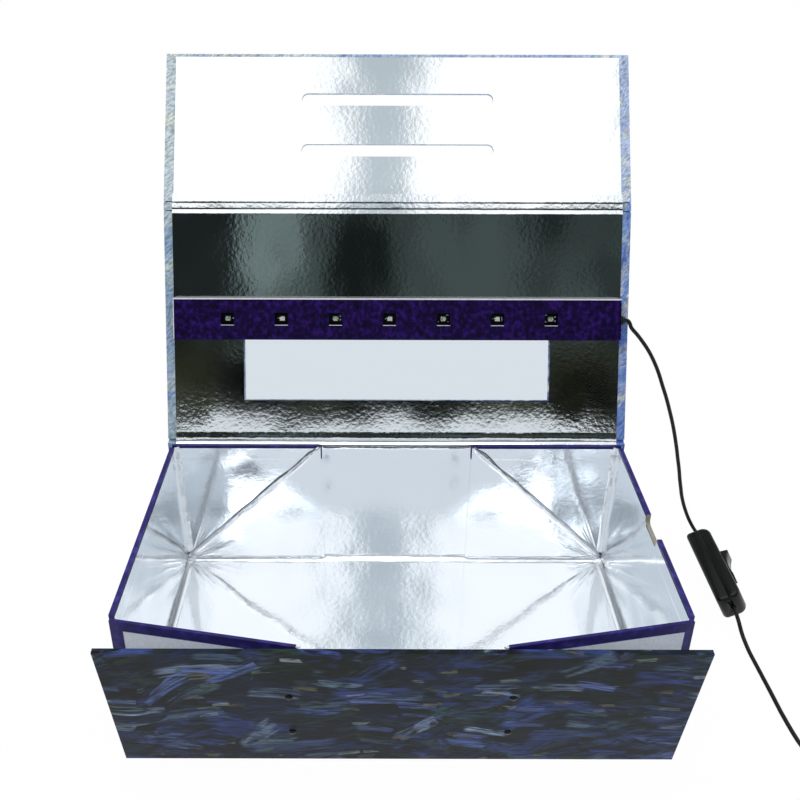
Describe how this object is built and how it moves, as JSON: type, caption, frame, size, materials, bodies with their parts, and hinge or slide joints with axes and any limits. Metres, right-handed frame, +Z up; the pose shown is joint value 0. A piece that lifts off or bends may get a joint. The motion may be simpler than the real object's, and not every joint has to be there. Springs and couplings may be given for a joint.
{
  "type": "folding sanitizer box",
  "caption": "Foil-lined folding board box with a leaning lid, lamp bar, window, slotted flap, gusseted corners, and a cord with a rocker switch.",
  "frame": {"origin": "middle of the base board's underside, on the table", "axes": "+Z up; the open front faces -Y; +X to the right seen from the front, the side where the cord comes out"},
  "size_m": [0.3758, 0.2809, 0.2842],
  "materials": {
    "print_board": "matt printed paper over board",
    "front_print": "matt printed paper over board, dark side",
    "foil": "wrinkled mirror foil",
    "foil_card": "foil-faced card",
    "bar_body": "dark",
    "bar_label": "dark purple print, satin",
    "circuit_board": "dark",
    "lamp": "small ceramic lamp package with a clear lens",
    "clear_pane": "thin clear sheet",
    "black_plastic": "satin",
    "cord": "satin",
    "dark_metal": "dark",
    "steel": "plain"
  },
  "bodies": {
    "base": {"base_board": "print_board", "base_liner": "foil", "switch_lower_shell": "black_plastic", "switch_upper_shell": "black_plastic", "switch_pin": "steel", "cord_switch_to_coil": "cord", "cord_coil": "cord", "coil_tie": "black_plastic", "plug_body": "black_plastic", "plug_barrel": "steel", "plug_insulator": "black_plastic"},
    "rocker": {"switch_rocker": "black_plastic"},
    "side_wall_left": {"left_wall_board": "print_board", "left_wall_liner": "foil"},
    "side_wall_right": {"right_wall_board": "print_board", "right_wall_liner": "foil"},
    "back_wall": {"back_board": "print_board", "back_liner": "foil", "back_left_ear_glued": "foil_card", "back_right_ear_glued": "foil_card", "cord_lower": "cord"},
    "back_ear_left": {"back_left_ear_fold": "foil_card"},
    "back_ear_right": {"back_right_ear_fold": "foil_card"},
    "front_panel": {"front_board": "front_print", "front_liner": "foil", "front_left_ear_glued": "foil_card", "front_right_ear_glued": "foil_card", "front_hinge_tape": "foil", "front_rivet_1": "dark_metal", "front_rivet_2": "dark_metal", "front_rivet_3": "dark_metal", "front_rivet_4": "dark_metal", "front_keeper_left": "steel", "front_keeper_right": "steel"},
    "front_ear_left": {"front_left_ear_fold": "foil_card", "front_left_crease": "foil"},
    "front_ear_right": {"front_right_ear_fold": "foil_card", "front_right_crease": "foil"},
    "lid": {"lid_board": "print_board", "lid_liner": "foil", "window_pane": "clear_pane", "lid_hinge_strip": "print_board", "led_bar_carrier": "bar_body", "led_pcb": "circuit_board", "led_label_cover": "bar_label", "lid_spine": "print_board", "led_1": "lamp", "led_2": "lamp", "led_3": "lamp", "led_4": "lamp", "led_5": "lamp", "led_6": "lamp", "led_7": "lamp", "cord_grommet": "black_plastic", "cord_upper": "cord"},
    "flap": {"flap_board": "print_board", "flap_liner": "foil", "flap_magnet_left": "steel", "flap_magnet_right": "steel"}
  },
  "joints": [
    {"name": "collapse", "type": "hinge", "parent": "base", "child": "back_wall", "pos_m": [0, 0.0665, 0], "axis": [-1, 0, 0], "range_deg": [0, 70], "deforming": ["cord_lower"]},
    {"name": "side_wall_left_fold", "type": "hinge", "parent": "base", "child": "side_wall_left", "pos_m": [-0.1244, 0, 0.003], "axis": [0, 1, 0], "range_deg": [0, 52.3]},
    {"name": "side_wall_right_fold", "type": "hinge", "parent": "base", "child": "side_wall_right", "pos_m": [0.1244, 0, 0.003], "axis": [0, -1, 0], "range_deg": [0, 52.3]},
    {"name": "back_ear_left_fold", "type": "hinge", "parent": "back_wall", "child": "back_ear_left", "pos_m": [-0.127, 0.0626, 0.0025], "axis": [0.7071, 0, 0.7071], "range_deg": [0, 125.6]},
    {"name": "back_ear_right_fold", "type": "hinge", "parent": "back_wall", "child": "back_ear_right", "pos_m": [0.127, 0.0626, 0.0025], "axis": [0.7071, 0, -0.7071], "range_deg": [0, 125.6]},
    {"name": "front_panel_fold", "type": "hinge", "parent": "base", "child": "front_panel", "pos_m": [0, -0.0665, 0], "axis": [1, 0, 0], "range_deg": [-9, 61]},
    {"name": "front_ear_left_fold", "type": "hinge", "parent": "front_panel", "child": "front_ear_left", "pos_m": [-0.127, -0.06304, 0.00308], "axis": [-0.7071, 0.1106, -0.6984], "range_deg": [-12.79, 86.7]},
    {"name": "front_ear_right_fold", "type": "hinge", "parent": "front_panel", "child": "front_ear_right", "pos_m": [0.127, -0.06304, 0.00308], "axis": [-0.7071, -0.1106, 0.6984], "range_deg": [-12.79, 86.7]},
    {"name": "lid_hinge", "type": "hinge", "parent": "back_wall", "child": "lid", "pos_m": [0, 0.0659, 0.0876], "axis": [-1, 0, 0], "range_deg": [-111.6, 0], "deforming": ["cord_upper", "lid_hinge_strip"]},
    {"name": "flap_hinge", "type": "hinge", "parent": "lid", "child": "flap", "pos_m": [0, 0.11582, 0.21258], "axis": [-1, 0, 0], "range_deg": [-99.4, 0]},
    {"name": "rocker_press", "type": "hinge", "parent": "base", "child": "rocker", "pos_m": [0.19181, 0.0465, 0.01179], "axis": [-0.4695, 0, 0.8829], "range_deg": [0, 20]}
  ],
  "couplings": [
    {"joint": "side_wall_left_fold", "follows": "collapse", "ratio": 0.7463},
    {"joint": "side_wall_right_fold", "follows": "collapse", "ratio": 0.7463},
    {"joint": "back_ear_left_fold", "follows": "collapse", "ratio": 1.793},
    {"joint": "back_ear_right_fold", "follows": "collapse", "ratio": 1.793},
    {"joint": "front_ear_left_fold", "follows": "front_panel_fold", "ratio": 1.42},
    {"joint": "front_ear_right_fold", "follows": "front_panel_fold", "ratio": 1.42}
  ]
}
